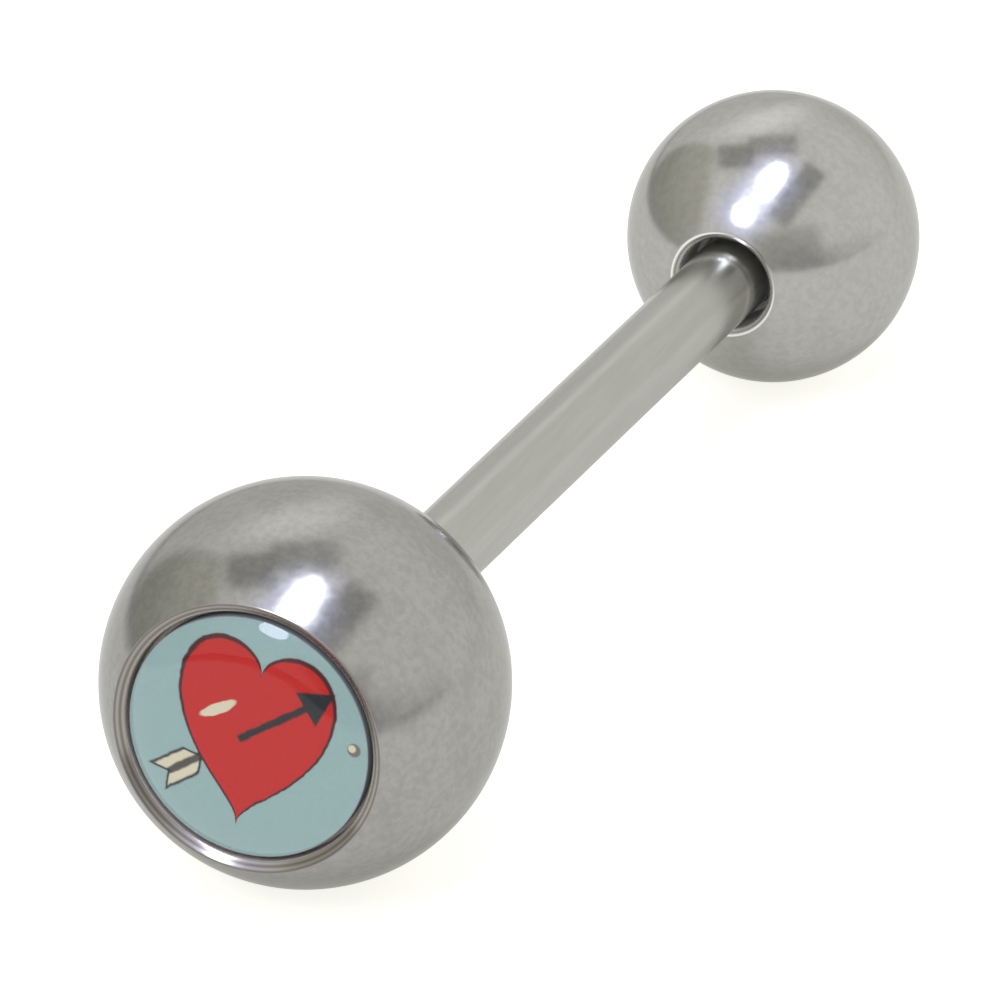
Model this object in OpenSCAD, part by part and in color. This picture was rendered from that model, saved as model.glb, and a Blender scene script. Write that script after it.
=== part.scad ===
// Tongue barbell: a straight steel bar with a fixed ball that holds a picture and a ball that screws off.
// It lies on its two balls on the floor Z = 0, with the bar along Y and the picture looking towards -Y.
// Each piece is drawn along its own +Z, with the picture ball's centre at 0, and resting() lays it down.

/* [Bar] */
// Diameter of the bar
bar_d = 1.64; // [1.2:0.02:1.8]
// Length of bar that shows between the two balls
shank_len = 17.5; // [8:0.5:30]
// How far the bar's plain end goes into the picture ball
seat_len = 2.8; // [1.5:0.1:3.5]
// Chamfer on both ends of the bar
bar_chamfer = 0.15; // [0.05:0.05:0.2]
// Pitch of the thread
thread_pitch = 0.35; // [0.25:0.05:0.45]
// Length of the threaded end
thread_len = 2.8; // [1.75:0.35:3.15]

/* [Picture ball] */
// Diameter of the ball that holds the picture
picture_ball_d = 8; // [6:0.1:10]
// Diameter of the pocket that holds the picture
pocket_d = 5.18; // [3:0.02:6]
// Depth of the pocket below its rim
pocket_depth = 0.45; // [0.4:0.05:0.6]
// Width of the chamfer round the pocket's mouth
rim_chamfer_w = 0.20; // [0.03:0.01:0.3]
// Depth of the chamfer round the pocket's mouth
rim_chamfer_h = 0.12; // [0.01:0.01:0.2]
// Chamfer round the hole that the bar is pressed into
seat_chamfer = 0.06; // [0.02:0.01:0.1]

/* [Picture] */
// Gap round the printed disc
disc_clearance = 0.09; // [0.05:0.01:0.3]
// Thickness of the printed disc
disc_t = 0.32; // [0.15:0.01:0.4]
// Thickness of the clear dome at its edge
dome_edge_t = 0.32; // [0.24:0.01:0.4]
// Height that the dome's middle rises above its edge
dome_rise = 0.19; // [0.05:0.01:0.3]
// Radius of the dome's rounded edge
dome_round = 0.24; // [0.1:0.01:0.24]

/* [Screw ball] */
// Diameter of the ball that screws off
screw_ball_d = 6; // [5:0.1:8]
// Diameter of the wide mouth of the ball's hole
mouth_d = 1.96; // [1.8:0.02:2.6]
// Depth of the wide mouth
mouth_depth = 1; // [0.5:0.1:1.5]
// Width of the chamfer round the mouth
mouth_chamfer_w = 0.16; // [0.08:0.01:0.2]
// Depth of the chamfer round the mouth
mouth_chamfer_h = 0.08; // [0.04:0.01:0.12]
// Room in the hole past the bar's end
end_room = 0.15; // [0.05:0.05:0.3]

/* [Clearances] */
// Gap between pieces that are pressed or glued together
glue_gap = 0.01; // [0.005:0.005:0.02]
// Gap round the thread in the ball's hole
thread_clearance = 0.02; // [0.01:0.01:0.05]

/* [Hidden] */

$fn = 96;
// how far a cutter runs past the surface that it opens
over = 0.5;

bar_r = bar_d / 2;
picture_ball_r = picture_ball_d / 2;
screw_ball_r = screw_ball_d / 2;

// where a hole of radius r meets a ball's surface, as a distance from the ball's centre
function opening_at(ball_r, r) = sqrt(ball_r * ball_r - r * r);

// the pocket: its rim is the circle where the chamfer meets the ball
pocket_r = pocket_d / 2;
rim_r = pocket_r + rim_chamfer_w;
rim_at = -opening_at(picture_ball_r, rim_r);
floor_at = rim_at + pocket_depth;

// the picture's disc stands on the pocket's floor and the dome on the disc; both face -Z
disc_r = pocket_r - disc_clearance;
disc_back = floor_at - glue_gap;
disc_front = disc_back - disc_t;
dome_back = disc_front - glue_gap;
crown_at = dome_back - dome_edge_t - dome_rise;

// the hole in the picture ball's back, and the bar's plain end in it
seat_r = bar_r + glue_gap;
seat_mouth_r = seat_r + seat_chamfer;
seat_mouth_at = opening_at(picture_ball_r, seat_mouth_r);
bar_start = seat_mouth_at - seat_len;
seat_end = bar_start - glue_gap;

// the screw ball, and the thread that starts at the bottom of its wide mouth
mouth_r = mouth_d / 2;
mouth_rim_r = mouth_r + mouth_chamfer_w;
mouth_rim_depth = opening_at(screw_ball_r, mouth_rim_r);
ball_spacing = seat_mouth_at + shank_len + mouth_rim_depth;
mouth_rim_at = ball_spacing - mouth_rim_depth;
mouth_floor_at = mouth_rim_at + mouth_depth;
thread_start = mouth_floor_at;
thread_rings = floor(thread_len / thread_pitch);
thread_stop = thread_start + thread_rings * thread_pitch;
bar_end = thread_stop + bar_chamfer;
bore_r = bar_r + thread_clearance;
bore_end = bar_end + end_room;

// a 60-degree thread form, drawn as rings: a flat crest of 1/8 pitch and a flat root of 1/4 pitch
crest_w = thread_pitch / 8;
root_w = thread_pitch / 4;
flank_w = (thread_pitch - crest_w - root_w) / 2;
thread_depth = flank_w * tan(60);
root_r = bar_r - thread_depth;

// the barbell lies on both balls, so the bar slopes down to the smaller one
rest_tilt = asin((picture_ball_r - screw_ball_r) / ball_spacing);
rim_reach = -rim_at * cos(rest_tilt) + rim_r * abs(sin(rest_tilt));
near_reach = max(rim_reach, -crown_at * cos(rest_tilt));
far_reach = ball_spacing * cos(rest_tilt) + screw_ball_r;
start_y = (near_reach - far_reach) / 2;

// lays a piece that is drawn along +Z down on the floor
module resting() {
    translate([0, start_y, picture_ball_r])
        rotate([-90 - rest_tilt, 0, 0])
            children();
}

// outline of one thread ring, from the root flat before it to its far flank
function ring(z) = [
    [root_r, z],
    [root_r, z + root_w],
    [bar_r, z + root_w + flank_w],
    [bar_r, z + root_w + flank_w + crest_w]
];

// the threaded end is as many whole rings as fit
thread_profile = [for (i = [0 : thread_rings - 1]) each ring(thread_start + i * thread_pitch)];

// the bar: a chamfered plain end, the smooth shank and the threaded end, turned in one
module bar() {
    color([0.72, 0.72, 0.70])
        resting()
            rotate_extrude()
                polygon(concat(
                    [[0, bar_start], [bar_r - bar_chamfer, bar_start], [bar_r, bar_start + bar_chamfer]],
                    [[bar_r, thread_start - flank_w]],
                    thread_profile,
                    [[root_r, thread_stop], [root_r - bar_chamfer, bar_end], [0, bar_end]]
                ));
}

// the ball that holds the picture: a pocket with a chamfered rim in front, a chamfered blind hole behind
module picture_ball() {
    color([0.66, 0.66, 0.64])
        resting()
            difference() {
                sphere(r = picture_ball_r);
                translate([0, 0, -picture_ball_r - over])
                    cylinder(r = picture_ball_r, h = picture_ball_r + over + rim_at);
                translate([0, 0, rim_at])
                    cylinder(r1 = rim_r, r2 = pocket_r, h = rim_chamfer_h);
                translate([0, 0, rim_at])
                    cylinder(r = pocket_r, h = pocket_depth);
                translate([0, 0, seat_end])
                    cylinder(r = seat_r, h = picture_ball_r + over - seat_end);
                translate([0, 0, seat_mouth_at - seat_chamfer])
                    cylinder(r1 = seat_r, r2 = seat_mouth_r + over, h = seat_chamfer + over);
            }
}

// the printed disc, a plain thin disc
module picture_disc() {
    color([0.62, 0.72, 0.71])
        resting()
            translate([0, 0, disc_front])
                cylinder(r = disc_r, h = disc_t);
}

// outline of half the dome: flat back, straight side, a quarter round and a parabola for the crown
dome_steps = 8;
dome_shoulder_r = disc_r - dome_round;
dome_profile = concat(
    [[0, 0], [disc_r, 0]],
    [for (i = [0 : dome_steps]) let (a = 90 * i / dome_steps)
        [dome_shoulder_r + dome_round * cos(a), dome_edge_t - dome_round * (1 - sin(a))]],
    [for (i = [1 : dome_steps]) let (k = 1 - i / dome_steps)
        [dome_shoulder_r * k, dome_edge_t + dome_rise * (1 - k * k)]]
);

// the clear dome: its outline turned round, crown towards -Z
module clear_dome() {
    color([0.85, 0.9, 0.9, 0.4])
        resting()
            translate([0, 0, dome_back])
                rotate([180, 0, 0])
                    rotate_extrude()
                        polygon(dome_profile);
}

// the ball that screws off: a wide mouth with a chamfered rim, then the hole for the thread
module screw_ball() {
    color([0.66, 0.66, 0.64])
        resting()
            difference() {
                translate([0, 0, ball_spacing])
                    sphere(r = screw_ball_r);
                translate([0, 0, mouth_rim_at - over])
                    cylinder(r = mouth_rim_r, h = over);
                translate([0, 0, mouth_rim_at])
                    cylinder(r1 = mouth_rim_r, r2 = mouth_r, h = mouth_chamfer_h);
                translate([0, 0, mouth_rim_at])
                    cylinder(r = mouth_r, h = mouth_depth);
                translate([0, 0, mouth_rim_at])
                    cylinder(r = bore_r, h = bore_end - mouth_rim_at);
            }
}

bar();
picture_ball();
picture_disc();
clear_dome();
screw_ball();
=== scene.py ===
# %% [markdown]
# # A tongue barbell, turned from steel
# A tongue barbell is a straight steel bar with a ball on each end. One ball is fixed and holds a small round
# picture under clear resin. The other screws off, so that the jewel can be put in. The packed model gives the
# sizes, the places and what moves; this lesson gives every piece its fine shape and its finish.

import math

import bpy
import numpy as np
from mathutils import Matrix, Vector


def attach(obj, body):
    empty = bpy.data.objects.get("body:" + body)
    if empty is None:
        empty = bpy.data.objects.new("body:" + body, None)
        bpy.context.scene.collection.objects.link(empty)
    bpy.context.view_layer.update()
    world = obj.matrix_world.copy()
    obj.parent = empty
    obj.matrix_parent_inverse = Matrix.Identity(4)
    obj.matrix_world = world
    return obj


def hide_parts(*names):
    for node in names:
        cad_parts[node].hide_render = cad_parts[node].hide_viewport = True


MM = 0.001
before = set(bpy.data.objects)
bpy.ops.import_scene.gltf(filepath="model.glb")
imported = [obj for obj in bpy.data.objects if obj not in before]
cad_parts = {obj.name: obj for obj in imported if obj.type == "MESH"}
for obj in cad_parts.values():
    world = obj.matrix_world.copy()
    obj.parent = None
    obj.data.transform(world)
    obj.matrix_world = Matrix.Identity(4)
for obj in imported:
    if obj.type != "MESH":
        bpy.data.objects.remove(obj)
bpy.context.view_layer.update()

# %% [markdown]
# ## Where the axis runs
# Every piece was turned on a lathe, so all of them share one axis. It needs no typing in: the two balls are
# true spheres, and a sphere's centre can be worked out from any points on it. The axis joins the two
# centres.

# %% Find the balls in the frame
# share of a ball's half width past which its surface is clear of every hole
FLANK = 0.75


def points_of(piece):
    """All the points of a piece's mesh, one in each row."""
    flat = np.zeros(len(piece.data.vertices) * 3)
    piece.data.vertices.foreach_get("co", flat)
    return flat.reshape(-1, 3)


def ball_of(node):
    """Centre and radius of a ball.

    A point p of a sphere obeys p.p = 2 p.c + (r.r - c.c). That is linear in the centre c and in the
    bracket, so least squares over the points far out to the sides gives both.
    """
    points = points_of(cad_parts[node])
    width = np.abs(points[:, 0])
    flank = points[width > FLANK * width.max()]
    rows = np.column_stack([2 * flank, np.ones(len(flank))])
    answer = np.linalg.lstsq(rows, (flank ** 2).sum(axis=1), rcond=None)[0]
    centre = answer[:3]
    return centre, math.sqrt(answer[3] + centre @ centre)


picture_centre, picture_ball_r = ball_of("picture_ball")
screw_centre, screw_ball_r = ball_of("screw_ball")
spacing = np.linalg.norm(screw_centre - picture_centre)
axis = (screw_centre - picture_centre) / spacing
side = np.array([1.0, 0.0, 0.0])
rise = np.cross(side, axis)
print("balls", round(2 * picture_ball_r / MM, 3), "and", round(2 * screw_ball_r / MM, 3), "mm,",
      round(spacing / MM, 3), "mm apart")

# %% [markdown]
# ## Lathe coordinates
# A turned piece is easiest to describe as a lathe sees it: a station along the axis, a distance from the
# axis and an angle round it. Station 0 is the middle of the picture ball, and stations grow towards the
# screw ball. One function turns lathe coordinates into places in the frame, and all the shapes go through
# it.

# %% Lathe coordinates
def laid(station, radius, angle):
    """Places for stations, distances from the axis and angles round it, given as arrays that fit together.

    The place is the picture ball's centre, plus the station along the axis, plus the distance turned by the
    angle in the plane that the side and rise directions span.
    """
    station, radius, angle = np.broadcast_arrays(station, radius, angle)
    return (picture_centre + station[..., None] * axis
            + (radius * np.cos(angle))[..., None] * side + (radius * np.sin(angle))[..., None] * rise)


lathe = points_of(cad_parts["bar"]) - picture_centre
stations = lathe @ axis
bar_r = np.linalg.norm(lathe - stations[:, None] * axis, axis=1).max()
bar_start, bar_end = stations.min(), stations.max()
print("bar of radius", round(bar_r / MM, 3), "mm from", round(bar_start / MM, 2), "to", round(bar_end / MM, 2))

# %% [markdown]
# ## Profiles
# On a lathe, a tool follows a profile while the work turns. Here the profile is a table of stations and
# distances. Sharp corners never look real, because a real edge is always a little broken and catches a line
# of light, so the corners are eased first. The direction in which each point faces is also worked out from
# the profile, so that flat faces stay flat right up to their edges.

# %% Ease a profile and see where it faces
EASE_STEPS = 5
# the most of a straight stretch that the easing of one corner may take
EASE_SHARE = 0.45


def eased(points, size):
    """A profile whose inner corners are rounded over a length of size on either side.

    Each corner P becomes the curve (1-u)^2 A + 2u(1-u) P + u^2 B, where A and B lie on the two straight
    stretches a distance of size, and never more than EASE_SHARE of the stretch, away from P.
    """
    points = np.asarray(points, float)
    steps = np.diff(points, axis=0)
    lengths = np.linalg.norm(steps, axis=1, keepdims=True)
    cut = np.minimum(size, EASE_SHARE * lengths) / lengths
    before = points[1:-1] - steps[:-1] * cut[:-1]
    after = points[1:-1] + steps[1:] * cut[1:]
    u = np.linspace(0, 1, EASE_STEPS)[None, :, None]
    curve = (1 - u) ** 2 * before[:, None] + 2 * u * (1 - u) * points[1:-1, None] + u ** 2 * after[:, None]
    return np.vstack([points[:1], curve.reshape(-1, 2), points[-1:]])


def ball_arc(centre, radius, start, stop, count):
    """Points of a ball's outline, from one angle to another, measured from the -axis side."""
    turn = np.linspace(start, stop, count)
    return np.column_stack([centre - radius * np.cos(turn), radius * np.sin(turn)])


def ball_point(centre, radius, turn):
    """One point of a ball's outline, at an angle from the -axis side."""
    return centre - radius * math.cos(turn), radius * math.sin(turn)


def facing(profile):
    """Which way each point of a profile faces: its two stretches turned a quarter, weighed by their lengths."""
    steps = np.diff(profile, axis=0)
    turned = np.column_stack([-steps[:, 1], steps[:, 0]])
    total = np.zeros_like(profile)
    total[:-1] += turned
    total[1:] += turned
    total[[0, -1], 1] = 0
    return total / np.linalg.norm(total, axis=1, keepdims=True)


print("a right angle, eased, takes", len(eased([(0, 0), (1, 0), (1, 1)], 0.2)), "points")

# %% [markdown]
# ## From a profile to a surface
# Turning a profile gives a grid of points: one row for each point of the profile, one column for each
# angle. numpy lays the whole grid out at once, and the two ends on the axis become poles, so that the skin
# is closed.

# %% Turn a profile
ROUND_THE_BALL = 192


def skin_of(rows, columns):
    """Faces of a closed skin: quads between rows of points that go round, and a fan at either pole.

    Row i, column j is point i * columns + j. The two poles are the last two points.
    """
    here = np.arange(rows * columns).reshape(rows, columns)
    there = np.roll(here, -1, axis=1)
    quads = np.stack([here[:-1], here[1:], there[1:], there[:-1]], axis=-1).reshape(-1, 4)
    first, last = rows * columns, rows * columns + 1
    near = np.column_stack([here[0], there[0], np.full(columns, first)])
    far = np.column_stack([there[-1], here[-1], np.full(columns, last)])
    return quads.tolist() + near.tolist() + far.tolist()


def new_piece(name, points, faces, normals=None):
    """A smooth mesh object at the origin, with its place in its points."""
    mesh = bpy.data.meshes.new(name)
    mesh.from_pydata(points.tolist(), [], faces)
    mesh.shade_smooth()
    if normals is not None:
        mesh.normals_split_custom_set_from_vertices(normals.tolist())
    mesh.validate()
    piece = bpy.data.objects.new(name, mesh)
    bpy.context.scene.collection.objects.link(piece)
    print(name, len(points), "points,", len(faces), "faces")
    return piece


def turned(name, profile, columns):
    """A piece turned from a profile that starts and ends on the axis and keeps the solid on its right."""
    angle = 2 * np.pi * np.arange(columns) / columns
    station, radius = profile[1:-1, 0, None], profile[1:-1, 1, None]
    grid = laid(station, radius, angle).reshape(-1, 3)
    poles = laid(profile[[0, -1], 0], np.zeros(2), np.zeros(2))
    faces_to = facing(profile)
    outward = laid(faces_to[1:-1, 0, None], faces_to[1:-1, 1, None], angle) - picture_centre
    ends = faces_to[[0, -1], :1] * axis
    return new_piece(name, np.vstack([grid, poles]), skin_of(len(profile) - 2, columns),
                     np.vstack([outward.reshape(-1, 3), ends]))


print("a skin of 3 rows and 4 columns has", len(skin_of(3, 4)), "faces")

# %% [markdown]
# ## The picture ball
# The real one is an 8 mm bearing-like ball. A flat-bottomed pocket is bored in its front, and the pocket's
# mouth is opened with a bevel, on which the turning tool left fine rings. A blind hole in the back takes
# the bar. The outline is one profile: down the pocket, over the bevel, round the ball and into the hole.

# %% Turn the picture ball
POCKET_R = 2.59 * MM
POCKET_DEPTH = 0.45 * MM
RIM_CHAMFER_W = 0.20 * MM
RIM_CHAMFER_H = 0.12 * MM
SEAT_GAP = 0.01 * MM
SEAT_CHAMFER = 0.06 * MM
BROKEN_EDGE = 0.035 * MM
BALL_ROWS = 110
# a little way round the ball before its dense rows start, in radians
LEAD = 0.03

rim_r = POCKET_R + RIM_CHAMFER_W
rim_turn = math.asin(rim_r / picture_ball_r)
rim_at = -picture_ball_r * math.cos(rim_turn)
floor_at = rim_at + POCKET_DEPTH
seat_r = bar_r + SEAT_GAP
seat_mouth_r = seat_r + SEAT_CHAMFER
seat_turn = math.pi - math.asin(seat_mouth_r / picture_ball_r)
seat_mouth_at = -picture_ball_r * math.cos(seat_turn)
seat_end = bar_start - SEAT_GAP

front = [(floor_at, 0), (floor_at, POCKET_R), (rim_at + RIM_CHAMFER_H, POCKET_R), (rim_at, rim_r)]
front += [ball_point(0, picture_ball_r, rim_turn + LEAD)]
back = [ball_point(0, picture_ball_r, seat_turn - LEAD), (seat_mouth_at, seat_mouth_r)]
back += [(seat_mouth_at - SEAT_CHAMFER, seat_r), (seat_end, seat_r), (seat_end, 0)]
middle = ball_arc(0, picture_ball_r, rim_turn + 2 * LEAD, seat_turn - 2 * LEAD, BALL_ROWS)
picture_ball_profile = np.vstack([eased(front, BROKEN_EDGE), middle, eased(back, BROKEN_EDGE)])
picture_ball = turned("picture_ball_turned", picture_ball_profile, ROUND_THE_BALL)
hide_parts("picture_ball")
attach(picture_ball, "barbell")

# %% [markdown]
# ## The ball that screws off
# A 6 mm ball has one hole: a wide mouth that hides the end of the thread, with a bright lip round it, and a
# threaded hole further in. The lip is a narrow flat land and then a chamfer. This ball is the only piece
# that comes off, so it rides on a body of its own.

# %% Turn the screw ball
MOUTH_R = 0.98 * MM
MOUTH_DEPTH = 1.0 * MM
MOUTH_CHAMFER_W = 0.16 * MM
MOUTH_CHAMFER_H = 0.08 * MM
# the land is flat but for this slight fall
LAND_W = 0.07 * MM
LAND_FALL = 0.004 * MM
THREAD_GAP = 0.02 * MM
END_ROOM = 0.15 * MM

mouth_rim_r = MOUTH_R + MOUTH_CHAMFER_W
mouth_turn = math.asin(mouth_rim_r / screw_ball_r)
mouth_at = spacing - screw_ball_r * math.cos(mouth_turn)
mouth_floor = mouth_at + MOUTH_DEPTH
bore_r = bar_r + THREAD_GAP
bore_end = bar_end + END_ROOM

mouth = [(bore_end, 0), (bore_end, bore_r), (mouth_floor, bore_r), (mouth_floor, MOUTH_R)]
mouth += [(mouth_at + MOUTH_CHAMFER_H, MOUTH_R), (mouth_at + LAND_FALL, mouth_rim_r - LAND_W)]
mouth += [(mouth_at, mouth_rim_r), ball_point(spacing, screw_ball_r, mouth_turn + LEAD)]
outside = ball_arc(spacing, screw_ball_r, mouth_turn + 2 * LEAD, math.pi, BALL_ROWS)
outside[-1, 1] = 0
screw_ball = turned("screw_ball_turned", np.vstack([eased(mouth, BROKEN_EDGE), outside]), ROUND_THE_BALL)
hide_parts("screw_ball")
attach(screw_ball, "ball")

# %% [markdown]
# ## The bar and its thread
# The bar is ground to size, and a thread is cut on one end. A thread isn't a stack of rings: walk once
# round the bar and the groove has moved along by one pitch. So the surface can't be a plain profile.
# Instead the distance from the axis is a function of both the station and the angle, on one grid that
# covers the whole bar.

# %% The thread as a function
PITCH = 0.35 * MM
CREST, ROOT = 1 / 8, 1 / 4
BAR_CHAMFER = 0.15 * MM
# the chamfer at the threaded end starts this share of the thread's depth above the root
END_SHARE = 0.4

flank = (1 - CREST - ROOT) / 2
thread_depth = flank * PITCH * math.tan(math.radians(60))
thread_start = mouth_floor
thread_stop = bar_end - BAR_CHAMFER


def smooth(low, high, value):
    """0 below low, 1 above high, and 3t^2 - 2t^3 in between."""
    t = np.clip((value - low) / (high - low), 0, 1)
    return t * t * (3 - 2 * t)


def groove(station, angle):
    """How deep the thread is cut at a station and an angle, from 0 on the crest to 1 at the root.

    The phase is the count of pitches from the thread's start, less the share of a turn. A 60-degree form
    rises from a flat root over one flank to a flat crest and falls again.
    """
    phase = (station - thread_start) / PITCH - angle / (2 * np.pi)
    from_crest = np.abs(phase - np.round(phase))
    cut = np.clip((from_crest - CREST / 2) / flank, 0, 1)
    run_in = smooth(thread_start - PITCH, thread_start + PITCH, station)
    return cut * run_in


def bar_distance(station, angle):
    """The bar's distance from the axis: its radius, less the thread's cut and the chamfer at either end."""
    threaded = bar_r - thread_depth * groove(station, angle)
    from_start = station - bar_start
    from_end = bar_end - station
    plain_end = bar_r - BAR_CHAMFER + from_start
    cut_end = bar_r - thread_depth - BAR_CHAMFER + from_end + thread_depth * END_SHARE
    return np.minimum(np.minimum(threaded, plain_end), cut_end)


print("the thread is", round(thread_depth / MM, 3), "mm deep and takes",
      round((thread_stop - thread_start) / PITCH, 1), "pitches")

# %% [markdown]
# ## The bar's grid
# Rows of points lie close where the shape changes fast, round the chamfer and along the thread, and far
# apart on the plain shank, where a few are enough.

# %% Cut the bar
ROWS_PER_PITCH = 20
ROUND_THE_BAR = 96
SHANK_ROWS = 60
# where the rows at the plain end lie, in shares of its chamfer
PLAIN_END_ROWS = np.array([0.001, 0.35, 0.7, 0.93, 1.0, 1.07, 1.5])

thread_rows = int(round((bar_end - thread_start + PITCH) / PITCH * ROWS_PER_PITCH))
plain_end_rows = bar_start + BAR_CHAMFER * PLAIN_END_ROWS
shank_rows = np.linspace(bar_start + 2 * BAR_CHAMFER, thread_start - PITCH, SHANK_ROWS)
cut_rows = np.linspace(thread_start - PITCH, bar_end, thread_rows)[1:]
bar_rows = np.concatenate([plain_end_rows, shank_rows, cut_rows])
bar_angles = 2 * np.pi * np.arange(ROUND_THE_BAR) / ROUND_THE_BAR
bar_grid = laid(bar_rows[:, None], bar_distance(bar_rows[:, None], bar_angles), bar_angles).reshape(-1, 3)
bar_ends = laid(np.array([bar_start, bar_end]), np.zeros(2), np.zeros(2))
bar = new_piece("bar_threaded", np.vstack([bar_grid, bar_ends]), skin_of(len(bar_rows), ROUND_THE_BAR))
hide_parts("bar")
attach(bar, "barbell")

# %% [markdown]
# ## The printed disc
# A thin disc with the picture printed on it lies on the pocket's floor. It carries its own flat map: half a
# unit in the middle, and the disc's edge at 0 and 1, so that the printing can be drawn in shares of the
# disc's radius.

# %% Turn the printed disc
DISC_GAP = 0.09 * MM
DISC_T = 0.32 * MM
DISC_EDGE = 0.02 * MM
ROUND_THE_DISC = 128

disc_r = POCKET_R - DISC_GAP
disc_back = floor_at - SEAT_GAP
disc_front = disc_back - DISC_T


def flat_map(piece, radius):
    """A UV map that looks at the piece along its axis: the side and rise directions, in shares of a radius."""
    across = points_of(piece) - picture_centre
    flat = np.column_stack([across @ side, across @ rise]) / (2 * radius) + 0.5
    corner = np.zeros(len(piece.data.loops), int)
    piece.data.loops.foreach_get("vertex_index", corner)
    piece.data.uv_layers.new(name="flat").data.foreach_set("uv", flat[corner].ravel())


disc_outline = [(disc_back, 0), (disc_back, disc_r), (disc_front, disc_r), (disc_front, 0)]
disc_profile = eased(disc_outline, DISC_EDGE)[::-1]
disc = turned("picture_disc_printed", disc_profile, ROUND_THE_DISC)
flat_map(disc, disc_r)
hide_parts("picture_disc")
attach(disc, "barbell")

# %% [markdown]
# ## The clear dome
# Resin dropped on a disc spreads to the edge and stops there, held by its own surface. It stands as a
# pillow: nearly flat in the middle, and some 37 degrees steep where it meets the edge. The curve z = h (1 -
# s^5), with s the share of the disc's radius, has just that shape.

# %% Pour the clear dome
DOME_H = 0.375 * MM
DOME_POWER = 5
DOME_ROWS = 64

dome_back = disc_front - SEAT_GAP
# rows closer together towards the steep edge
share = np.sin(np.linspace(0, np.pi / 2, DOME_ROWS))
pillow = DOME_H * (1 - share ** DOME_POWER)
edge_slope = math.degrees(math.atan(DOME_POWER * DOME_H / disc_r))
print("the dome meets its edge at", round(edge_slope), "degrees")
dome_profile = np.vstack([np.column_stack([dome_back - pillow, share * disc_r]), [(dome_back, 0)]])
dome = turned("clear_dome_poured", dome_profile, ROUND_THE_DISC)
flat_map(dome, disc_r)
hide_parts("clear_dome")
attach(dome, "barbell")

# %% [markdown]
# ## Shader maths as plain sums
# A finish is a sum of masks and noises. Written out as nodes it is hard to read, so a wire between nodes is
# wrapped in a small class that knows the four rules of arithmetic: adding two wires adds the Math node.

# %% Wires that can be added up
class Wire:
    """The output of a node, with arithmetic."""

    def __init__(self, bench, socket):
        self.bench = bench
        self.socket = socket

    def maths(self, operation, *others):
        sockets = dict(enumerate([self, *others]))
        return self.bench.node("Math", {"operation": operation}, sockets)

    def __add__(self, other):
        return self.maths("ADD", other)

    def __sub__(self, other):
        return self.maths("SUBTRACT", other)

    def __mul__(self, other):
        return self.maths("MULTIPLY", other)

    def __truediv__(self, other):
        return self.maths("DIVIDE", other)

    def __pow__(self, other):
        return self.maths("POWER", other)

    def __abs__(self):
        return self.maths("ABSOLUTE")

    def __rsub__(self, other):
        return self.bench.node("Math", {"operation": "SUBTRACT"}, {0: other, 1: self})

    def root(self):
        return self.maths("SQRT")

    def least(self, other):
        return self.maths("MINIMUM", other)

    def most(self, other):
        return self.maths("MAXIMUM", other)

    def ramp(self, low, high):
        """0 where the wire is at low, 1 at high, eased in between; low may be above high."""
        sockets = {0: self, 1: low, 2: high, 3: 0.0, 4: 1.0}
        return self.bench.node("MapRange", {"interpolation_type": "SMOOTHSTEP"}, sockets)


class Bench:
    """A node tree on which a finish is put together."""

    def __init__(self, tree):
        self.tree = tree
        tree.nodes.clear()

    def node(self, kind, settings=None, sockets=None, out=0):
        """Adds a node of a kind, sets it up, then feeds its sockets with wires or values."""
        made = self.tree.nodes.new("ShaderNode" + kind)
        for name, value in (settings or {}).items():
            setattr(made, name, value)
        for name, value in (sockets or {}).items():
            if isinstance(value, Wire):
                self.tree.links.new(value.socket, made.inputs[name])
            else:
                made.inputs[name].default_value = value
        return Wire(self, made.outputs[out]) if made.outputs else None

    def dot(self, vector, fixed):
        """The dot product of a vector wire and a fixed vector."""
        fixed = [float(part) for part in fixed]
        return self.node("VectorMath", {"operation": "DOT_PRODUCT"}, {0: vector, 1: fixed}, out=1)

    def split(self, vector):
        """The x and the y of a vector wire."""
        first = self.node("SeparateXYZ", None, {0: vector})
        return first, Wire(self, first.socket.node.outputs[1])

    def blend(self, mask, under, over):
        """One colour over another, where a mask says so."""
        return self.node("Mix", {"data_type": "RGBA"}, {0: mask, 6: under, 7: over}, out=2)

    def noise(self, place, scale, detail=2.0, rough=0.5):
        """Soft noise about 0.5 at a scale in bumps to the metre."""
        sockets = {"Vector": place, "Scale": scale, "Detail": detail, "Roughness": rough}
        return self.node("TexNoise", None, sockets)


def finish_for(name):
    """A new material and the bench to build it on."""
    material = bpy.data.materials.new(name)
    material.use_nodes = True
    return material, Bench(material.node_tree)


def put_on(piece, material):
    """A piece wears one material."""
    piece.data.materials.clear()
    piece.data.materials.append(material)


print("a wire has", *[name for name in vars(Wire) if name[0] != "_"], "and plain arithmetic")

# %% [markdown]
# ## Where on the lathe a shader is
# A shader is given a place and must know whether it lies in a hole or on a lip. Both are round the axis, so
# the place is turned back into lathe coordinates, now with wires in place of arrays.

# %% Lathe coordinates as wires
# a hole's finish fades out a little past its wall and a little past its end
WALL_FADE = (0.02 * MM, 0.004 * MM)
END_FADE = (0.5 * MM, 0.1 * MM)
# a lip reaches this share of its chamfer's slant to either side of its middle
LIP_REACH = 0.55
POCKET_LIP_TONE = (0.285, 0.265, 0.238)
# painted highlight: the mouth's lip is coloured much lighter than the ball, for the bright ring round the mouth
MOUTH_LIP_PAINTED_HIGHLIGHT = (0.70, 0.69, 0.67)


def shaded(tone, share):
    """A tone made lighter or darker by a share, as a colour."""
    return tuple(share * part for part in tone) + (1.0,)


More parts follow.
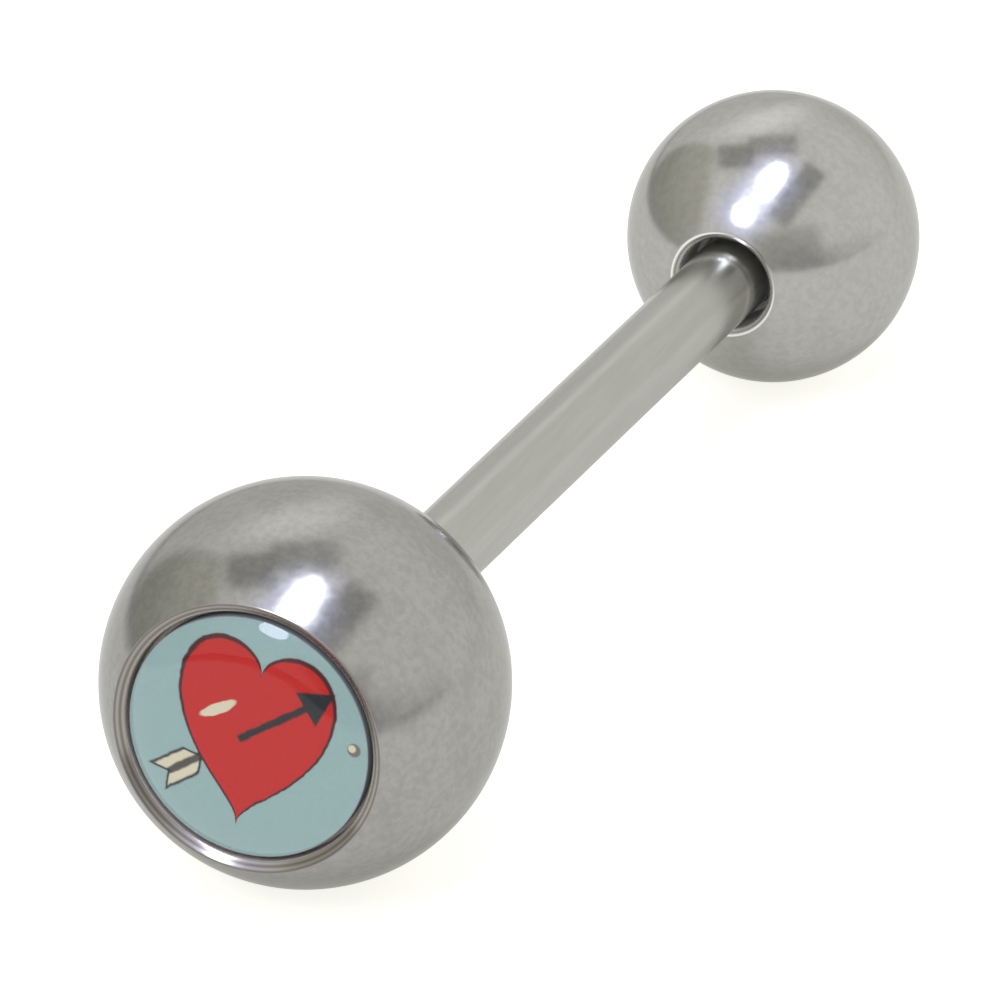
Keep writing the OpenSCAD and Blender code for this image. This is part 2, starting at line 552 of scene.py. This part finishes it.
def lathe_wires(bench, place):
    """A place's station along the axis and its distance from the axis, as wires.

    The station is the dot product of the way from the ball's middle with the axis. What is left of that way's
    length, by Pythagoras, is the distance.
    """
    from_ball = bench.node("VectorMath", {"operation": "SUBTRACT"}, {0: place, 1: picture_centre.tolist()})
    station = bench.dot(from_ball, axis)
    length = bench.node("VectorMath", {"operation": "LENGTH"}, {0: from_ball}, out=1)
    return station, (length * length - station * station).most(0.0).root()


def inside_hole(station, from_axis, end, wall_r):
    """1 on the wall and the end of a hole that opens away from its end, and 0 on the rest of the piece."""
    within = from_axis.ramp(wall_r + WALL_FADE[0], wall_r + WALL_FADE[1])
    return within * station.ramp(end + END_FADE[0], end + END_FADE[1])


def chamfer_lip(station, outer_r, width, height, tone):
    """The lip that a chamfer makes: its middle's station and radius, its reach and its tone."""
    return station + height / 2, outer_r - width / 2, LIP_REACH * math.hypot(width, height), tone


pocket_lip = chamfer_lip(rim_at, rim_r, RIM_CHAMFER_W, RIM_CHAMFER_H, POCKET_LIP_TONE)
# painted highlight: the mouth's lip carries a light tone for the bright ring
mouth_lip_painted_highlight = chamfer_lip(mouth_at, mouth_rim_r, MOUTH_CHAMFER_W, MOUTH_CHAMFER_H, MOUTH_LIP_PAINTED_HIGHLIGHT)
print("the pocket's lip reaches", round(pocket_lip[2] / MM, 3), "mm from the middle of its chamfer")

# %% [markdown]
# ## Polished steel
# Surgical steel is polished in a tumbler full of small pins, so it isn't a perfect mirror. Under a lens it
# has a faint orange peel and cloudy patches where the polish is duller. A low roughness gives the soft
# mirror, one noise clouds it, and a bump a fraction of a thousandth of a millimetre high bends what it
# reflects.

# %% Polished steel
# sizes of the clouds, the spots and the peel's bumps, and how high the bumps are
CLOUD_SIZE = 0.7 * MM
SPOT_SIZE = 0.16 * MM
PEEL_SIZE = 0.35 * MM
PEEL_HEIGHT = 0.0006 * MM
# of the two noises in the tone, the clouds have this share; the tone runs from dark to light between two
# values
CLOUD_SHARE = 0.35
TONE_FROM, TONE_TO = 0.34, 0.66
# how much each noise changes the roughness
CLOUD_DULLNESS = 0.08
SPOT_DULLNESS = 0.05
# painted light: a rough brown-grey skin in the pocket, lighter than the steel, which lifts the pocket's shade
POCKET_PAINTED_LIGHT_LOW = (0.42, 0.37, 0.33, 1.0)
POCKET_PAINTED_LIGHT_HIGH = (0.66, 0.60, 0.54, 1.0)
POCKET_SKIN_DULLNESS = 0.42
# painted light: a bored wall is coloured lighter than the steel, which lifts the shade in the hole; it grows
# dull over a short way from its mouth
BORE_PAINTED_LIGHT = (0.74, 0.73, 0.71, 1.0)
BORE_DULLNESS = 0.5
BORE_RUN_IN = 0.25 * MM
# share of the light that the rough skin in a hole scatters in place of mirroring it
SKIN_SHARE = 0.65
# distance between the rings that a turning tool leaves on a lip, and how much they change its tone
TOOL_STEP = 0.10 * MM
RING_SHARE = 0.32
# a lip's tone is full up to this share of its reach
LIP_FULL = 0.75
# how much of the light a metal's grazing edge keeps, against a perfect mirror's
EDGE_TINT = (0.84, 0.84, 0.83, 1.0)


def steel(name, tone, dullness, grain, draw=1, lip=None, pocket=None, bore=None):
    """Tumbled steel: a metal with cloudy roughness, a faint peel, and a tone that varies by a share, the grain.

    Grinding draws the marks out along the bar by the factor draw. A lip, given as its station, its radius,
    how far it reaches and its tone, was cut after the tumbling, in rings that sin(2 pi r / step) draws; a lip
    tone much lighter than the steel, as on the mouth, is a painted highlight. A pocket, given as its floor's
    station and its radius, keeps a rough brown-grey skin, lighter than the steel: painted light that lifts
    the shade in the pocket. A bore, given as its mouth's and its end's stations and its radius, is dull and
    scatters some light, for no pin gets into it; its wall is coloured lighter than the steel, painted light
    that lifts the shade in the hole.
    """
    material, bench = finish_for(name)
    place = bench.node("TexCoord", out=3)
    drawn = bench.node("VectorMath", {"operation": "MULTIPLY"}, {0: place, 1: (1.0, 1 / draw, 1.0)})
    clouds = bench.noise(drawn, 1 / CLOUD_SIZE, 2.0, 0.6)
    spots = bench.noise(drawn, 1 / SPOT_SIZE, 2.0, 0.6)
    peel = bench.noise(drawn, 1 / PEEL_SIZE, 1.0)
    light = (clouds * CLOUD_SHARE + spots * (1 - CLOUD_SHARE)).ramp(TONE_FROM, TONE_TO)
    colour = bench.blend(light, shaded(tone, 1 - grain), shaded(tone, 1 + grain))
    roughness = (clouds - 0.5) * CLOUD_DULLNESS + (spots - 0.5) * SPOT_DULLNESS + dullness
    metallic = 1.0
    station, from_axis = lathe_wires(bench, place)
    if pocket:
        pocket_skin_painted_light = inside_hole(station, from_axis, *pocket)
        # painted light: the pocket's wall and floor are coloured a light brown-grey that lifts their shade
        colour = bench.blend(pocket_skin_painted_light, colour, bench.blend(spots, POCKET_PAINTED_LIGHT_LOW, POCKET_PAINTED_LIGHT_HIGH))
        roughness = roughness + pocket_skin_painted_light * (POCKET_SKIN_DULLNESS - roughness)
        metallic = 1 - pocket_skin_painted_light * SKIN_SHARE
    if bore:
        bore_station, *end_and_radius = bore
        bored = inside_hole(station, from_axis, *end_and_radius)
        # painted light: the hole's wall is coloured lighter than the steel, to lift its shade
        colour = bench.blend(bored, colour, BORE_PAINTED_LIGHT)
        dull = bored * station.ramp(bore_station, bore_station + BORE_RUN_IN)
        roughness = roughness + dull * (BORE_DULLNESS - roughness)
        metallic = 1 - bored * SKIN_SHARE
    if lip:
        lip_station, lip_r, reach, lip_tone = lip
        off_lip = ((station - lip_station) ** 2 + (from_axis - lip_r) ** 2).root()
        cut = off_lip.ramp(reach, LIP_FULL * reach)
        rings = bench.node("Math", {"operation": "SINE"}, {0: from_axis * (2 * math.pi / TOOL_STEP)})
        dark_ring, light_ring = shaded(lip_tone, 1 - RING_SHARE), shaded(lip_tone, 1 + RING_SHARE)
        colour = bench.blend(cut, colour, bench.blend(rings * 0.5 + 0.5, dark_ring, light_ring))
    bump = bench.node("Bump", None, {"Strength": 1.0, "Distance": PEEL_HEIGHT, "Height": peel})
    sockets = {"Base Color": colour, "Metallic": metallic, "Roughness": roughness, "Normal": bump}
    sockets["Specular Tint"] = EDGE_TINT
    body = bench.node("BsdfPrincipled", None, sockets)
    bench.node("OutputMaterial", None, {"Surface": body})
    print(name, "takes", len(material.node_tree.nodes), "nodes")
    return material


# %% [markdown]
# ## Steel for each piece
# In the photograph the ball that screws off is a little lighter and smoother than the other. The bar is
# ground along its length, which draws its marks out into faint streaks. So the three wear one finish with
# three settings.

# %% Put the steel on
# tone, roughness and grain of each piece's steel
PICTURE_BALL_STEEL = ((0.370, 0.366, 0.345), 0.17, 0.075)
SCREW_BALL_STEEL = ((0.440, 0.436, 0.410), 0.15, 0.055)
BAR_STEEL = ((0.445, 0.442, 0.406), 0.19, 0.035)
# along the bar, grinding draws its marks out to this many times their width
GRINDING_DRAW = 14

pocket = (floor_at, POCKET_R)
bore = (mouth_at, bore_end, MOUTH_R)
put_on(picture_ball, steel("picture_ball_steel", *PICTURE_BALL_STEEL, lip=pocket_lip, pocket=pocket))
put_on(screw_ball, steel("screw_ball_steel", *SCREW_BALL_STEEL, lip=mouth_lip_painted_highlight, bore=bore))
put_on(bar, steel("bar_steel_ground", *BAR_STEEL, draw=GRINDING_DRAW))

# %% [markdown]
# ## The printing
# The picture is a plain ornament in a few flat inks: a red heart with a dark outline, shot through by a black
# arrow with cream feathers, on a pale sea-green ground. Each ink is a mask, and each mask is a formula in the
# disc's own map, so the printing has clean edges at any size.

# %% Inks and masks
SEA_GREEN = (0.279, 0.386, 0.369)
RED = (0.490, 0.008, 0.006)
MAROON = (0.060, 0.006, 0.008, 1.0)
BLACK = (0.010, 0.012, 0.014, 1.0)
CREAM = (0.620, 0.550, 0.390, 1.0)
# painted shade: the dark grey of the disc's edge, for the gap round it
DISC_EDGE_PAINTED_SHADE = (0.22, 0.24, 0.24, 1.0)
# half the width over which an ink ends
INK_EDGE = 0.012


def below(wire, limit):
    """1 where a wire is less than a limit and 0 where it is more."""
    return (wire - limit).ramp(INK_EDGE, -INK_EDGE)


def above(wire, limit):
    """1 where a wire is more than a limit and 0 where it is less."""
    return (wire - limit).ramp(-INK_EDGE, INK_EDGE)


def radius_of(x, y):
    """How far a point is from the middle, by Pythagoras."""
    return (x ** 2 + y ** 2).root()


def turned_map(x, y, lean):
    """The map's two coordinates turned by an angle, so that a motif can lean."""
    cosine, sine = math.cos(lean), math.sin(lean)
    return x * cosine + y * sine, y * cosine - x * sine


print("an ink ends over", round(2 * INK_EDGE * disc_r / MM, 3), "mm")

# %% [markdown]
# ## The heart
# A circle becomes a heart when its middle is pulled down: the rule x^2 + y^2 = 1 holds once y is lowered by
# the square root of |x|. A slightly smaller heart inside it leaves the dark outline, and a cream glint sits
# on its left.

# %% The heart's masks
HEART_SIZE = 0.66
HEART_INSIDE = 0.955 * HEART_SIZE
HEART_DROP = -0.12
HEART_LOBES = 0.72
HEART_LEAN = math.radians(-9)
GLINT_X, GLINT_Y = -0.30, 0.27
GLINT_LEAN = math.radians(38)
GLINT_LENGTH, GLINT_WIDTH = 0.17, 0.045
GLINT_FADE = (1.12, 0.88)


def heart(x, y, size):
    """How far outside a heart a point is, in shares of its size."""
    x, y = x / size, y / size
    y = y - abs(x).root() * HEART_LOBES
    return (x * x + y * y).root() - 1


def heart_masks(x, y):
    """Masks of the heart with its outline, of the heart inside the outline, and of the glint."""
    x, y = turned_map(x, y - HEART_DROP, HEART_LEAN)
    outline = below(heart(x, y, HEART_SIZE), 0)
    inside = below(heart(x, y, HEART_INSIDE), 0)
    along, across = turned_map(x - GLINT_X, y - GLINT_Y, GLINT_LEAN)
    glint = radius_of(along / GLINT_LENGTH, across / GLINT_WIDTH).ramp(*GLINT_FADE)
    return outline, inside, glint


print("the heart is about", round(2 * HEART_SIZE * disc_r / MM, 1), "mm wide")

# %% [markdown]
# ## The arrow
# The arrow is laid out along its own line. It goes in behind the heart from the left and comes out in front
# of it, so its shaft is split in two: one part is printed before the heart and one after it.

# %% The arrow's masks
ARROW_LEAN = math.radians(33)
ARROW_RISE = 0.02
SHAFT_HALF = 0.030
SHAFT_FROM, SHAFT_TO = -0.80, 0.70
# where the shaft passes from behind the heart to the front
PASSES = -0.10
HEAD_FROM, HEAD_TIP = 0.56, 0.86
HEAD_SPREAD = 0.52
# the feathers' half width, their two ends, and how much their ends slant; the cream lies a little inside
FEATHER = (0.125, -0.80, -0.46)
FEATHER_CREAM = (0.103, -0.775, -0.485)
FEATHER_SLANT = 0.9


def arrow_masks(x, y):
    """Masks of the shaft behind and in front of the heart, the head, the feathers and their cream."""
    along, across = turned_map(x, y - ARROW_RISE, ARROW_LEAN)
    off = abs(across)
    shaft = below(off, SHAFT_HALF) * above(along, SHAFT_FROM) * below(along, SHAFT_TO)
    head = below(off - (HEAD_TIP - along) * HEAD_SPREAD, 0) * above(along, HEAD_FROM)
    slant = along + off * FEATHER_SLANT
    feather, cream = [below(off, half) * above(slant, start) * below(slant, stop)
                      for half, start, stop in (FEATHER, FEATHER_CREAM)]
    behind = below(along, PASSES)
    return shaft * behind, shaft * (1 - behind), head, feather, cream


print("the arrow is", round((HEAD_TIP - SHAFT_FROM) * disc_r / MM, 1), "mm long")

# %% [markdown]
# ## Ink over ink
# Printing lays one ink over the other, and so does this finish: ground, shaft, feathers, heart, and then
# what lies in front of the heart. A slight wobble of the map makes the edges of the ink less than perfect,
# and a fine mottle keeps the flat colours from looking painted by a machine. Last comes a fleck of glue
# that dried on the print, with a painted highlight on it, and painted shade round the disc's edge.

# %% Print the disc
WOBBLE, WOBBLE_SIZE = 0.022, 0.22 * MM
MOTTLE_SIZE = 0.07 * MM
GROUND_MOTTLE, RED_MOTTLE = 0.08, 0.10
# the shaft shows through the feathers with this strength
SHAFT_OVER_FEATHER = 0.9
# the fleck of glue, in shares of the disc's radius, and a painted highlight on it
FLECK = (0.880, 0.055)
FLECK_PAINTED_HIGHLIGHT = (-0.016, 0.010)
FLECK_FADE = (0.064, 0.048)
PAINTED_HIGHLIGHT_FADE = (0.040, 0.024)
FLECK_DARK = (0.17, 0.14, 0.12, 1.0)
# the print ends just inside the disc's edge; from there out, and on the disc's side, it is coloured dark grey,
# painted shade of the gap round the disc
PAINTED_SHADE_FROM = (0.990, 0.996)


def mottled(bench, mottle, tone, span):
    """A tone that varies by a share with a noise."""
    return bench.blend(mottle, shaded(tone, 1 - span), shaded(tone, 1 + span))


def printed():
    """The printed disc's material."""
    material, bench = finish_for("picture_print")
    u, v = bench.split(bench.node("UVMap", {"uv_map": "flat"}))
    true_x, true_y = (u - 0.5) * 2, (v - 0.5) * 2
    place = bench.node("TexCoord", out=3)
    wobble = (bench.noise(place, 1 / WOBBLE_SIZE) - 0.5) * WOBBLE
    x, y = true_x + wobble, true_y - wobble
    outline, inside, glint = heart_masks(x, y)
    shaft_behind, shaft_before, head, feather, cream = arrow_masks(x, y)

    mottle = bench.noise(place, 1 / MOTTLE_SIZE, 3.0)
    ink = mottled(bench, mottle, SEA_GREEN, GROUND_MOTTLE)
    red = mottled(bench, mottle, RED, RED_MOTTLE)
    layers = [(shaft_behind, BLACK), (feather, BLACK), (cream, CREAM)]
    layers += [(shaft_behind * SHAFT_OVER_FEATHER, BLACK), (outline, MAROON), (inside, red), (glint, CREAM)]
    layers += [(shaft_before, BLACK), (head, BLACK)]
    fleck_x, fleck_y = true_x - FLECK[0], true_y - FLECK[1]
    layers.append((radius_of(fleck_x, fleck_y).ramp(*FLECK_FADE), FLECK_DARK))
    # painted highlight: a cream spot on the fleck
    painted_highlight = radius_of(fleck_x - FLECK_PAINTED_HIGHLIGHT[0], fleck_y - FLECK_PAINTED_HIGHLIGHT[1])
    layers.append((painted_highlight.ramp(*PAINTED_HIGHLIGHT_FADE), CREAM))
    # painted shade: the disc's edge and its side are coloured dark grey for the gap round it
    layers.append((radius_of(true_x, true_y).ramp(*PAINTED_SHADE_FROM), DISC_EDGE_PAINTED_SHADE))
    for mask, colour in layers:
        ink = bench.blend(mask, ink, colour)
    sockets = {"Base Color": ink, "Roughness": 0.5, "Specular IOR Level": 0.0}
    body = bench.node("BsdfPrincipled", None, sockets)
    bench.node("OutputMaterial", None, {"Surface": body})
    print("the printing takes", len(layers), "layers and", len(material.node_tree.nodes), "nodes")
    return material


put_on(disc, printed())

# %% [markdown]
# ## Clear resin
# Real resin bends light, but over so thin a layer that can't be seen. What shows is its gloss: a little at a
# glance from straight above, and more towards the steep edge. So the resin is a clear film that lets light
# straight through, with a mirror mixed in by the Fresnel rule.

# %% Clear resin
RESIN_IOR = 1.54
RESIN_TINT = (0.985, 0.995, 0.99, 1.0)
RESIN_ROUGHNESS = 0.055
# slow ripples in the poured skin: how wide and how high
RIPPLE_SIZE = 0.8 * MM
RIPPLE_HEIGHT = 0.004 * MM


def resin():
    """Clear resin: a film with a Fresnel mirror on its outer side."""
    material, bench = finish_for("resin_clear")
    place = bench.node("TexCoord", out=3)
    ripple = bench.noise(place, 1 / RIPPLE_SIZE, 1.0)
    bump = bench.node("Bump", None, {"Strength": 1.0, "Distance": RIPPLE_HEIGHT, "Height": ripple})
    gloss = {"Color": (1.0, 1.0, 1.0, 1.0), "Roughness": RESIN_ROUGHNESS, "Normal": bump}
    mirror = bench.node("BsdfGlossy", None, gloss)
    film = bench.node("BsdfTransparent", None, {"Color": RESIN_TINT})
    fresnel = bench.node("Fresnel", None, {"IOR": RESIN_IOR, "Normal": bump})
    inner_side = bench.node("NewGeometry", out=6)
    body = bench.node("MixShader", None, {0: fresnel * (1 - inner_side), 1: film, 2: mirror})
    bench.node("OutputMaterial", None, {"Surface": body})
    return material


put_on(dome, resin())
straight_on = ((RESIN_IOR - 1) / (RESIN_IOR + 1)) ** 2
print("seen straight on, the resin mirrors", round(100 * straight_on, 1), "per cent of the light")

# %% [markdown]
# ## The camera
# The photograph was taken close up with a long lens. The two balls' sizes on the picture, their places and
# the round pocket seen as an ellipse were enough to work back to the camera: where the picture ball's
# middle sits in front of the lens, and how far the lens is turned round the bar and up from the floor.

# %% Camera
AZIMUTH = math.radians(22.81)
ELEVATION = math.radians(26.22)
LENS_IN_PICTURES = 17.198
SENSOR = 36.0
PICTURE_BALL_SEEN_AT = np.array([-3.761, -3.528, -332.15]) * MM

right = np.array([math.cos(AZIMUTH), math.sin(AZIMUTH), 0.0])
back_to_lens = np.array([math.sin(AZIMUTH) * math.cos(ELEVATION), -math.cos(AZIMUTH) * math.cos(ELEVATION),
                         math.sin(ELEVATION)])
upward = np.cross(back_to_lens, right)
turn = np.column_stack([right, upward, back_to_lens])
lens_place = picture_centre - turn @ PICTURE_BALL_SEEN_AT

camera = bpy.data.objects.new("camera", bpy.data.cameras.new("camera"))
bpy.context.scene.collection.objects.link(camera)
camera.data.sensor_width = SENSOR
camera.data.lens = LENS_IN_PICTURES * SENSOR
camera.data.clip_start = 1 * MM
camera.data.clip_end = 10.0
camera.matrix_world = Matrix.Translation(Vector(lens_place)) @ Matrix(turn.tolist()).to_4x4()
bpy.context.scene.camera = camera
print("lens", round(camera.data.lens, 1), "mm, at", [round(x / MM, 1) for x in lens_place], "mm")

# %% [markdown]
# ## The light table
# A small shiny thing shows the whole room, so the room is the lighting. The lower half of every ball shows
# the floor. A pale light table gives it an even grey, and the dark low bands on the balls show where the
# table's lit glass ends, some 40 mm and more from the jewel. The eye meets the table directly as white
# paper.

# %% Floor
FLOOR_HALF = 1.5
FLOOR_PAINT = (0.40, 0.396, 0.374, 1.0)
TABLE_LIGHT = 0.46
TABLE_COLOUR = (1.0, 0.988, 0.920)
# what the table adds where the eye meets it directly
TABLE_WHITE = 0.36
# the lit glass ends along two straight lines: which way each lies, from the side direction in degrees, and
# between which distances the light fades
GLASS_ENDS = [
    (-62, 40 * MM, 58 * MM),
    (184, 40 * MM, 90 * MM),
]

floor_mesh = bpy.data.meshes.new("floor")
floor_corners = np.array([(-1, -1, 0), (1, -1, 0), (1, 1, 0), (-1, 1, 0)]) * FLOOR_HALF
floor_mesh.from_pydata(floor_corners.tolist(), [], [(0, 1, 2, 3)])
floor = bpy.data.objects.new("floor", floor_mesh)
bpy.context.scene.collection.objects.link(floor)

floor_finish, bench = finish_for("floor_pale")
on_floor = bench.node("TexCoord", out=3)
lit = TABLE_LIGHT
for degrees, fades_from, fades_to in GLASS_ENDS:
    way = (math.cos(math.radians(degrees)), math.sin(math.radians(degrees)), 0.0)
    lit = bench.dot(on_floor, way).ramp(fades_to, fades_from) * lit
seen = bench.node("LightPath", out=0)
lit = seen * TABLE_WHITE + lit
table_light = bench.node("VectorMath", {"operation": "SCALE"}, {0: TABLE_COLOUR, "Scale": lit})
floor_sockets = {"Base Color": FLOOR_PAINT, "Roughness": 0.8, "Specular IOR Level": 0.2}
floor_sockets.update({"Emission Color": table_light, "Emission Strength": 1.0})
floor_body = bench.node("BsdfPrincipled", None, floor_sockets)
bench.node("OutputMaterial", None, {"Surface": floor_body})
put_on(floor, floor_finish)
print("light table", 2 * FLOOR_HALF, "m wide, its lit glass ends on", len(GLASS_ENDS), "sides")

# %% [markdown]
# ## A ball is a map of the room
# Each spot on a ball's round picture mirrors one direction. So the room is laid out in ball coordinates, x
# to the right and y up in shares of the radius, in which a card stands just where it should show on the
# steel. A mirror faces half way between what it shows and the lens, and that rule turns a direction into
# ball coordinates.

# %% Ball coordinates of the room
world = bpy.data.worlds.new("room")
world.use_nodes = True
bpy.context.scene.world = world
bench = Bench(world.node_tree)

toward = bench.node("TexCoord", out=0)
between = bench.node("VectorMath", {"operation": "ADD"}, {0: toward, 1: back_to_lens.tolist()})
faces = bench.node("VectorMath", {"operation": "NORMALIZE"}, {0: between})
ball_x = bench.dot(faces, right)
ball_y = bench.dot(faces, upward)


def card(x, y, half_length, half_width, lean, softness):
    """1 on a straight-edged card in ball coordinates and 0 off it.

    How far inside the nearest edge a point is, is the lesser of half length - |along| and half width -
    |across|.
    """
    along, across = turned_map(ball_x - x, ball_y - y, math.radians(lean))
    inside = (half_length - abs(along)).least(half_width - abs(across))
    return inside.ramp(-softness, softness)


def pool(x, y, half_length, half_width, lean, softness):
    """1 in a round pool in ball coordinates and 0 outside.

    The root of along^2 + across^2, each in shares of its half size, is 1 on the pool's edge.
    """
    along, across = turned_map(ball_x - x, ball_y - y, math.radians(lean))
    along, across = along / half_length, across / half_width
    return (along * along + across * across).root().ramp(1 + softness, 1 - softness)


print("ball coordinates take", len(world.node_tree.nodes), "nodes")

# %% [markdown]
# ## The tent and its dark corners
# A pale tent hangs round the table and gives steel its even grey. It falls off towards its back and top. On
# the left of both balls a warm dark crescent shows where the tent is open: a round pool, its right part cut
# off by a line, darkest at its far left.

# %% The tent
TENT_WHITE = (1.0, 0.995, 0.98, 1.0)
# distances from the middle between which the tent's light falls, by what share, and over which heights
DIM_FROM, DIM_TO, DIM_SHARE = 0.78, 0.97, 0.18
DIM_HEIGHTS = (0.05, 0.40)
CRESCENT = (-0.56, 0.245, 0.395, 0.300, 82, 0.06)
# the cut's place, its slope, and how soft it is
CRESCENT_CUT = -0.505
CRESCENT_CUT_SLOPE = 0.20
CRESCENT_CUT_EDGE = 0.05
# the share of light that the crescent takes at its right and at its left, and where it changes
CRESCENT_SHARES = (0.29, 0.49)
CRESCENT_DARKENS = (-0.42, -0.86)
CRESCENT_WARM = (1.0, 0.99, 0.90, 1.0)

past_cut = ball_x - ball_y * CRESCENT_CUT_SLOPE - CRESCENT_CUT
crescent = pool(*CRESCENT) * past_cut.ramp(CRESCENT_CUT_EDGE, -CRESCENT_CUT_EDGE)
least_share, most_share = CRESCENT_SHARES
level = 1 - crescent * (ball_x.ramp(*CRESCENT_DARKENS) * (most_share - least_share) + least_share)
out_from_middle = (ball_x * ball_x + ball_y * ball_y).root()
level = level * (1 - out_from_middle.ramp(DIM_FROM, DIM_TO) * ball_y.ramp(*DIM_HEIGHTS) * DIM_SHARE)
colour = bench.blend(crescent, TENT_WHITE, CRESCENT_WARM)
print("the crescent takes up to", round(100 * most_share), "per cent of the tent's light")

# %% [markdown]
# ## Cards, pools and glows
# Dim cards, as a photographer puts them up to give steel its shape, have straight edges. Pools are round.
# Glows are bluish pools round the lamps, where their light spreads on the tent's cloth. Each is one row of
# a table, and each multiplies the light by one plus its share.

# %% Cards, pools and glows
# middle x and y, half length, half width, lean of the length from the x direction in degrees, how wide the
# soft edge is on either side, and the share of light that the card adds or takes away
CARDS = [
    (0.000, 0.612, 0.165, 0.068, 3, 0.030, -0.42),
    (-0.260, 0.540, 0.118, 0.082, 3, 0.022, -0.50),
    (0.150, 0.272, 0.228, 0.080, 53, 0.022, -0.48),
    (0.245, 0.390, 0.080, 0.080, 53, 0.030, -0.14),
    (0.085, -0.120, 0.235, 0.150, 8, 0.060, -0.38),
    (0.200, -0.200, 0.260, 0.070, 10, 0.050, -0.20),
    (0.080, -0.110, 0.150, 0.030, 5, 0.030, -0.12),
    (0.500, -0.120, 0.180, 0.090, 14, 0.060, -0.14),
]
# the same columns, but a round pool's softness is a share of its size
POOLS = [
    (-0.02, 0.79, 0.28, 0.075, 18, 0.50, 0.26),
]
GLOWS = [
    (-0.02, 0.350, 0.22, 0.18, 58, 0.50, 0.42),
    (-0.205, 0.16, 0.19, 0.18, 60, 0.50, 0.42),
    (-0.118, 0.262, 0.12, 0.09, 58, 0.60, 0.36),
]
GLOW_BLUE = (0.74, 0.76, 1.0, 1.0)

for shape, table in ((card, CARDS), (pool, POOLS)):
    for *where, share in table:
        level = level * (shape(*where) * share + 1)
for *where, share in GLOWS:
    glow = pool(*where)
    level = level * (glow * share + 1)
    colour = bench.blend(glow, colour, GLOW_BLUE)
# where the eye meets the tent directly, it is plain
to_camera = bench.node("LightPath", out=0)
level = level + to_camera * (1 - level)
light = bench.node("Background", None, {"Color": colour, "Strength": level})
bench.node("OutputWorld", None, {"Surface": light})
print("the room has", len(CARDS), "cards,", len(POOLS), "pool and", len(GLOWS), "glows, and takes",
      len(world.node_tree.nodes), "nodes")

# %% [markdown]
# ## Two lamps
# Two small oval lamps above the camera give the bright spots. Each is placed from where it shows: a mirror
# sends the view back turned about its normal, and the lamp stands a little way off in that direction and
# looks back.

# %% Lamps
LAMP_AWAY = 0.5
LAMP_BRIGHTNESS = 9.5
LAMP_COLOUR = (0.80, 0.84, 1.0)
# a small step in ball coordinates, which shows which way a lamp's length runs
LAMP_STEP = 0.01
# each lamp: where it shows in ball coordinates, the lean of its length in degrees, and its length and width
# in metres
LAMPS = [
    ("lamp_upper", -0.020, 0.378, 58, 0.300, 0.138),
    ("lamp_left", -0.205, 0.158, 60, 0.170, 0.140),
]


def mirrored_from(x, y):
    """The direction that a ball shows at x and y: the view turned about the ball's normal, 2(n.v)n - v."""
    normal = x * right + y * upward + math.sqrt(1 - x * x - y * y) * back_to_lens
    return 2 * (normal @ back_to_lens) * normal - back_to_lens


middle_place = (picture_centre + screw_centre) / 2
for name, x, y, lean, length, width in LAMPS:
    direction = mirrored_from(x, y)
    step = LAMP_STEP * np.array([math.cos(math.radians(lean)), math.sin(math.radians(lean))])
    along = mirrored_from(x + step[0], y + step[1]) - direction
    along = along - (along @ direction) * direction
    along = along / np.linalg.norm(along)
    data = bpy.data.lights.new(name, "AREA")
    data.shape = "ELLIPSE"
    data.size = length
    data.size_y = width
    # a lamp that sends its light out evenly gives off its brightness times its area times pi
    area = math.pi / 4 * length * width
    data.energy = LAMP_BRIGHTNESS * area * math.pi
    data.color = LAMP_COLOUR
    lamp = bpy.data.objects.new(name, data)
    bpy.context.scene.collection.objects.link(lamp)
    lamp.visible_camera = False
    turned_to = Matrix(np.column_stack([along, np.cross(direction, along), direction]).tolist())
    lamp.matrix_world = Matrix.Translation(middle_place + direction * LAMP_AWAY) @ turned_to.to_4x4()
    print(name, "of", round(data.energy, 2), "W stands", round(LAMP_AWAY / MM), "mm away")

bpy.context.scene.view_settings.view_transform = "Standard"

# %% [markdown]
